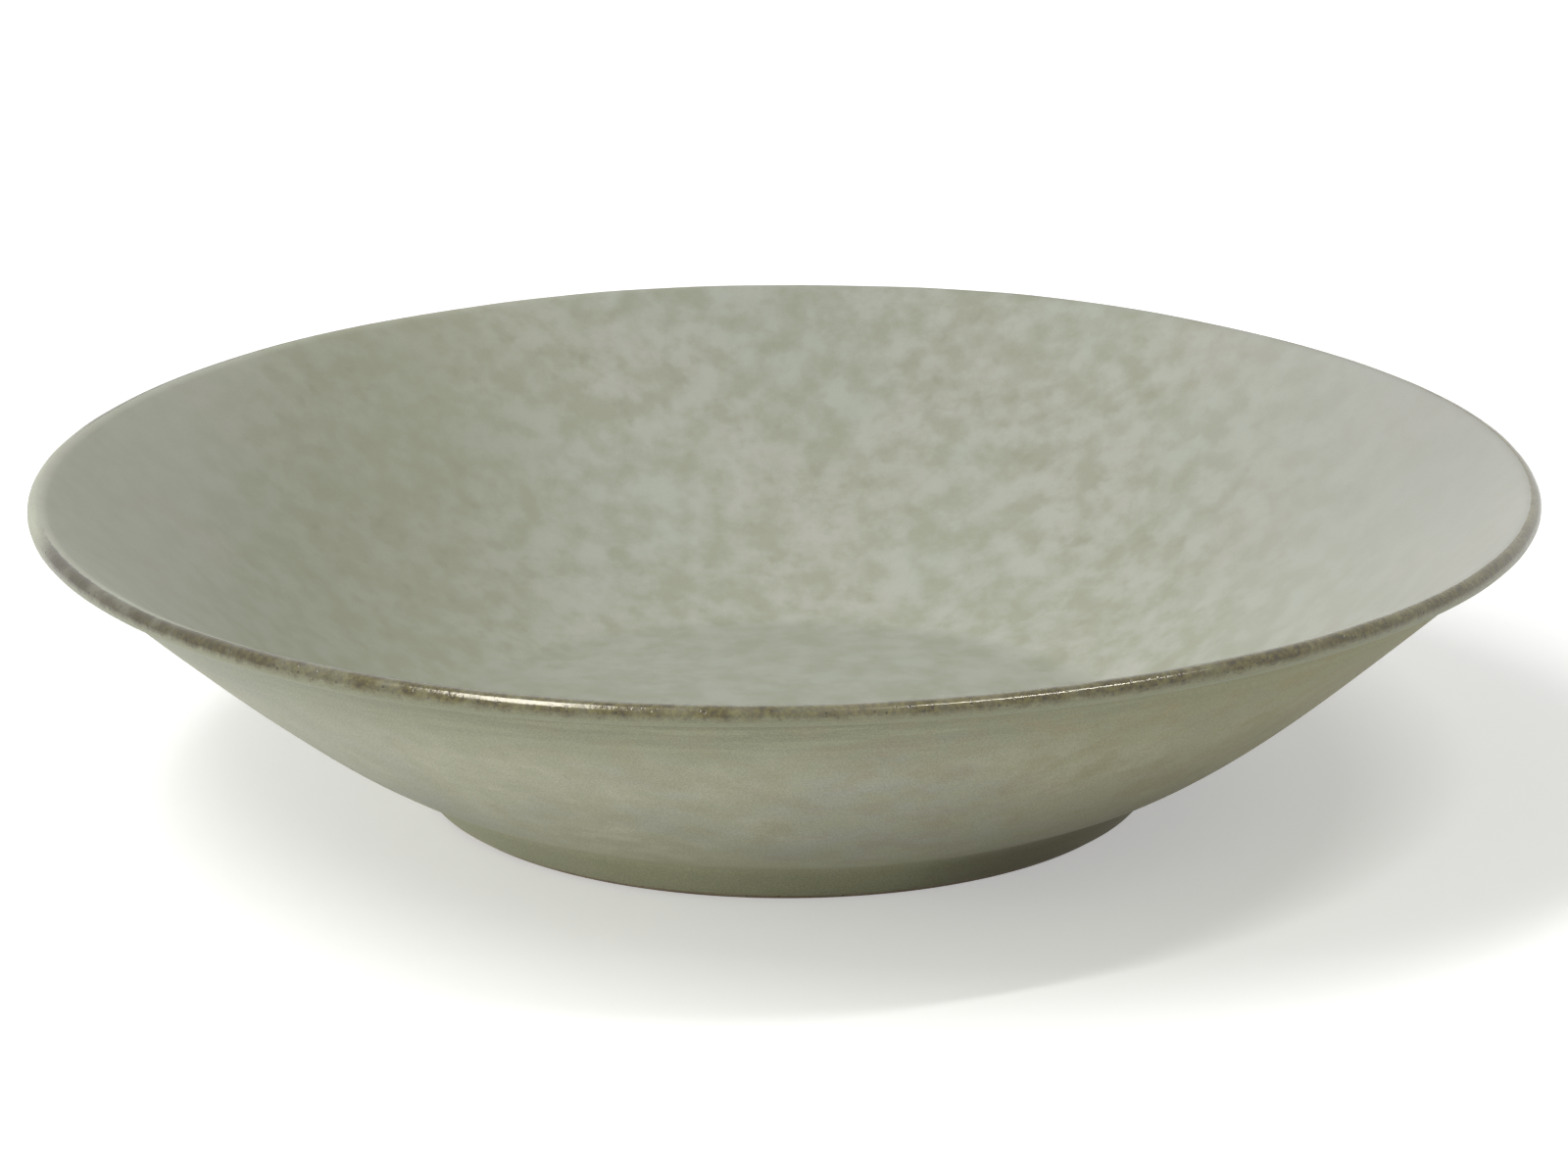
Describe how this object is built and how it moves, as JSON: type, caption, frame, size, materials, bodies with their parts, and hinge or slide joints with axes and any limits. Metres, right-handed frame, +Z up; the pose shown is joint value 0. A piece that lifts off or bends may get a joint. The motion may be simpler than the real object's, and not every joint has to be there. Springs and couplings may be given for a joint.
{
  "type": "deep plate",
  "caption": "Round deep plate with a flat well, a wide sloping wall, a rolled lip with a brown speckled edge, and a low foot ring; sage reactive glaze.",
  "frame": {"origin": "on the table, at the middle of the foot ring", "axes": "+Z up along the plate's axis, through the well and out of its open side; +X and +Y level, and alike, because the plate is round"},
  "size_m": [0.225, 0.225, 0.048],
  "materials": {
    "bare_stoneware": "matt, fired, slightly gritty",
    "inner_glaze": "satin sage reactive glaze, mottled with soft olive patches",
    "rim_glaze": "glossy, run thin over the lip and broken to speckled brown",
    "outer_glaze": "satin sage glaze with fine level streaks",
    "base_glaze": "satin sage glaze"
  },
  "bodies": {
    "root": {"clay_body": "bare_stoneware", "inner_glaze": "inner_glaze", "rim_glaze": "rim_glaze", "outer_glaze": "outer_glaze", "base_glaze": "base_glaze"}
  },
  "joints": []
}
